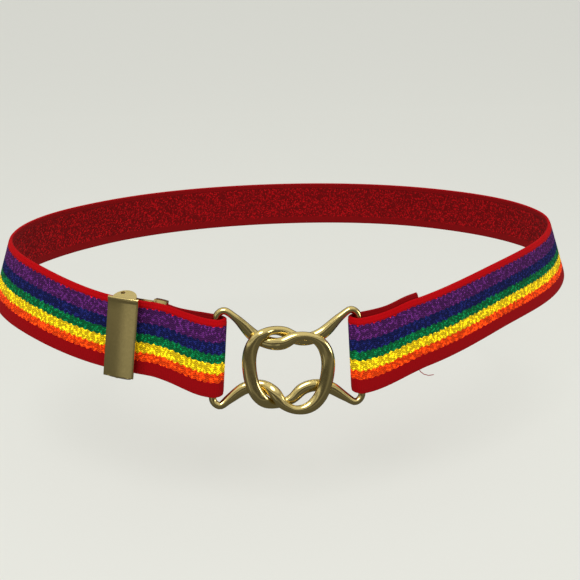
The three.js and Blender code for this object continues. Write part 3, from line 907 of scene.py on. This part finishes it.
class BELT_OT_adjuster(bpy.types.Operator):
    """Makes the clamp adjuster's hinged lever and its frame"""

    bl_idname = "belt.adjuster"
    bl_label = "Adjuster"

    def execute(self, context):
        look = context.scene.belt_metal
        material = gold_material("polished_gold_plate", look, look.clamp_roughness)
        bm = bmesh.new()
        lever_plate(bm)
        for end in (-1, 1):
            lever_ear(bm, end)
        lever_jaw(bm)
        bmesh.ops.transform(bm, matrix=ADJUSTER, verts=bm.verts)
        piece("clamp_lever", bm, "lever", material, ["adjuster_lever"], smooth=40)

        bm = bmesh.new()
        bm.from_mesh(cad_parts["adjuster_frame"].data)
        bmesh.ops.scale(bm, vec=(1 / MM, 1 / MM, 1 / MM), verts=bm.verts)
        bmesh.ops.remove_doubles(bm, verts=bm.verts, dist=0.002)
        bmesh.ops.dissolve_limit(bm, angle_limit=math.radians(1), verts=bm.verts, edges=bm.edges)
        hollow_pins(bm)
        round_sharp(bm, 0.15, 2)
        piece("clamp_frame", bm, "belt", material, ["adjuster_frame"], smooth=40)
        return {"FINISHED"}


class BELT_OT_threads(bpy.types.Operator):
    """Makes the hem's stitches and the loose thread under the belt"""

    bl_idname = "belt.threads"
    bl_label = "Threads"

    def execute(self, context):
        material = thread_material(context.scene.belt_webbing)
        bm = bmesh.new()
        circle = [(0, math.cos(k * math.pi / 3), math.sin(k * math.pi / 3)) for k in range(6)]
        start = strap_frame(68)
        # Along the strap, across it and out of its face, from inside the low edge to the free end
        path = (
            (0.0, -18.4, -1.4),
            (0.6, -20.2, -1.2),
            (2.0, -22.0, -0.6),
            (4.2, -23.2, 0.2),
            (6.8, -23.4, 0.8),
        )
        points = [start @ Vector(p) for p in path]
        places = []
        for i, p in enumerate(points):
            ahead = points[min(i + 1, len(points) - 1)] - points[max(i - 1, 0)]
            matrix = frame_from(p, ahead, Vector((0, 0, 1))) @ Matrix.Diagonal((1, THREAD_R, THREAD_R, 1))
            places.append(matrix)
        sweep(bm, circle, places)
        piece("loose_thread", bm, "belt", material, smooth=80)

        bm = bmesh.new()
        sideways = Matrix.Rotation(math.pi / 2, 4, "Z")
        for row in (HEM_LENGTH - 3.5, HEM_LENGTH - 7.0):
            home = strap_frame(SLOT_AT + row)
            for k in range(13):
                w = (k - 6) * STITCH_PITCH
                places = []
                for i in range(7):
                    turn = math.pi * i / 6
                    half = STITCH_PITCH * 0.4 * math.cos(turn)
                    high = HEM_SINK + STRAP_THICK / 2 - 0.1 + STITCH_RISE * math.sin(turn)
                    spot = home @ Matrix.Translation((0, BACK_RISE + w + half, -high))
                    places.append(spot @ sideways @ Matrix.Diagonal((1, STITCH_R, STITCH_R, 1)))
                sweep(bm, circle, places)
        piece("hem_stitches", bm, "belt", material, smooth=80)
        return {"FINISHED"}


class BELT_OT_stage(bpy.types.Operator):
    """Makes the floor, the soft lights and the camera"""

    bl_idname = "belt.stage"
    bl_label = "Stage"

    def execute(self, context):
        look = context.scene.belt_stage
        bm = bmesh.new()
        bmesh.ops.create_grid(bm, x_segments=1, y_segments=1, size=3.0)
        bmesh.ops.scale(bm, vec=(2.5, 1, 1), verts=bm.verts)
        back = [e for e in bm.edges if all(v.co.y > 2.9 for v in e.verts)]
        grown = bmesh.ops.extrude_edge_only(bm, edges=back)["geom"]
        top = [g for g in grown if isinstance(g, bmesh.types.BMVert)]
        bmesh.ops.translate(bm, vec=(0, 0, 4), verts=top)
        bevel(bm, back, 1.5, 24)
        bmesh.ops.translate(bm, vec=(0, 0, look.floor_height), verts=bm.verts)
        bmesh.ops.recalc_face_normals(bm, faces=bm.faces)
        mesh = bpy.data.meshes.new("floor")
        bm.to_mesh(mesh)
        bm.free()
        mesh.shade_smooth()
        mesh.materials.append(floor_material(look))
        floor = bpy.data.objects.new("floor", mesh)
        context.scene.collection.objects.link(floor)
        # The metal reflects the dark room where it would reflect the floor
        floor.visible_glossy = False

        for name, place, size, power, reflected in (
            ("soft_top", (-0.2, -0.6, 1.0), 0.5, 4.6, True),
            ("soft_left", (-0.9, -0.6, 0.3), 0.35, 1.6, False),
            ("soft_right", (0.9, -0.5, 0.35), 0.35, 1.6, True),
            ("pale_card", (-0.54, -0.78, 0.02), 0.26, 0.035, True),
        ):
            light = bpy.data.lights.new(name, "AREA")
            light.shape = "DISK"
            light.size = size
            light.energy = power
            lamp = bpy.data.objects.new(name, light)
            lamp.location = place
            lamp.rotation_euler = (-Vector(place)).to_track_quat("-Z", "Y").to_euler()
            lamp.visible_glossy = reflected
            context.scene.collection.objects.link(lamp)

        context.scene.view_settings.view_transform = "Standard"
        world = bpy.data.worlds.new("studio")
        context.scene.world = world
        world.use_nodes = True
        tree = world.node_tree
        tree.nodes.clear()
        way = add(tree, "ShaderNodeTexCoord", {}).outputs["Generated"]
        parts = add(tree, "ShaderNodeSeparateXYZ", {"Vector": way})
        ramp = add(tree, "ShaderNodeValToRGB", {"Fac": parts.outputs["Z"]})
        # Greys from level to straight up: dark room, strips of light and a pale ceiling
        greys = ((0.0, 0.14), (0.1, 0.3), (0.2, 0.09), (0.38, 0.12), (0.48, 1.0), (0.56, 0.3), (0.72, 1.0))
        for i, (height, grey) in enumerate(greys):
            stop = ramp.color_ramp.elements[i] if i < 2 else ramp.color_ramp.elements.new(height)
            stop.position = height
            stop.color = (grey, grey * 0.98, grey * 0.94, 1)
        sky = add(tree, "ShaderNodeBackground", {"Color": ramp.outputs["Color"], "Strength": 0.8})
        add(tree, "ShaderNodeOutputWorld", {"Surface": sky.outputs[0]})

        camera = bpy.data.cameras.new("camera")
        camera.lens = 39.25
        camera.sensor_width = 36
        camera.shift_y = 0.063
        camera.clip_start = 0.01
        view = bpy.data.objects.new("camera", camera)
        axes = Matrix(((0.9871, -0.1599, 0), (0.0723, 0.4463, 0.8920), (-0.1426, -0.8805, 0.4521)))
        view.matrix_world = axes.transposed().to_4x4()
        view.location = (-0.0605, -0.3628, 0.1658)
        context.scene.collection.objects.link(view)
        context.scene.camera = view
        return {"FINISHED"}


class BELT_PT_parts(bpy.types.Panel):
    """Lists the belt's pieces"""

    bl_idname = "BELT_PT_parts"
    bl_label = "Stretch belt"
    bl_space_type = "VIEW_3D"
    bl_region_type = "UI"
    bl_category = "Belt"

    def draw(self, context):
        scene = context.scene
        for group in (scene.belt_webbing, scene.belt_metal, scene.belt_stage):
            column = self.layout.column()
            for key in group.bl_rna.properties.keys():
                if key not in ("rna_type", "name"):
                    column.prop(group, key)
        for operator in PIECES:
            self.layout.operator(operator.bl_idname)


PIECES = (BELT_OT_webbing, BELT_OT_clasp, BELT_OT_adjuster, BELT_OT_threads, BELT_OT_stage)
GROUPS = {"belt_webbing": BeltWebbing, "belt_metal": BeltMetal, "belt_stage": BeltStage}


def register():
    for name, group in GROUPS.items():
        bpy.utils.register_class(group)
        setattr(bpy.types.Scene, name, PointerProperty(type=group))
    for operator in PIECES:
        bpy.utils.register_class(operator)
    bpy.utils.register_class(BELT_PT_parts)


def unregister():
    bpy.utils.unregister_class(BELT_PT_parts)
    for operator in reversed(PIECES):
        bpy.utils.unregister_class(operator)
    for name, group in GROUPS.items():
        delattr(bpy.types.Scene, name)
        bpy.utils.unregister_class(group)


def main():
    register()
    bpy.ops.belt.webbing()
    bpy.ops.belt.clasp()
    bpy.ops.belt.adjuster()
    bpy.ops.belt.threads()
    bpy.ops.belt.stage()


if __name__ == "__main__":
    main()
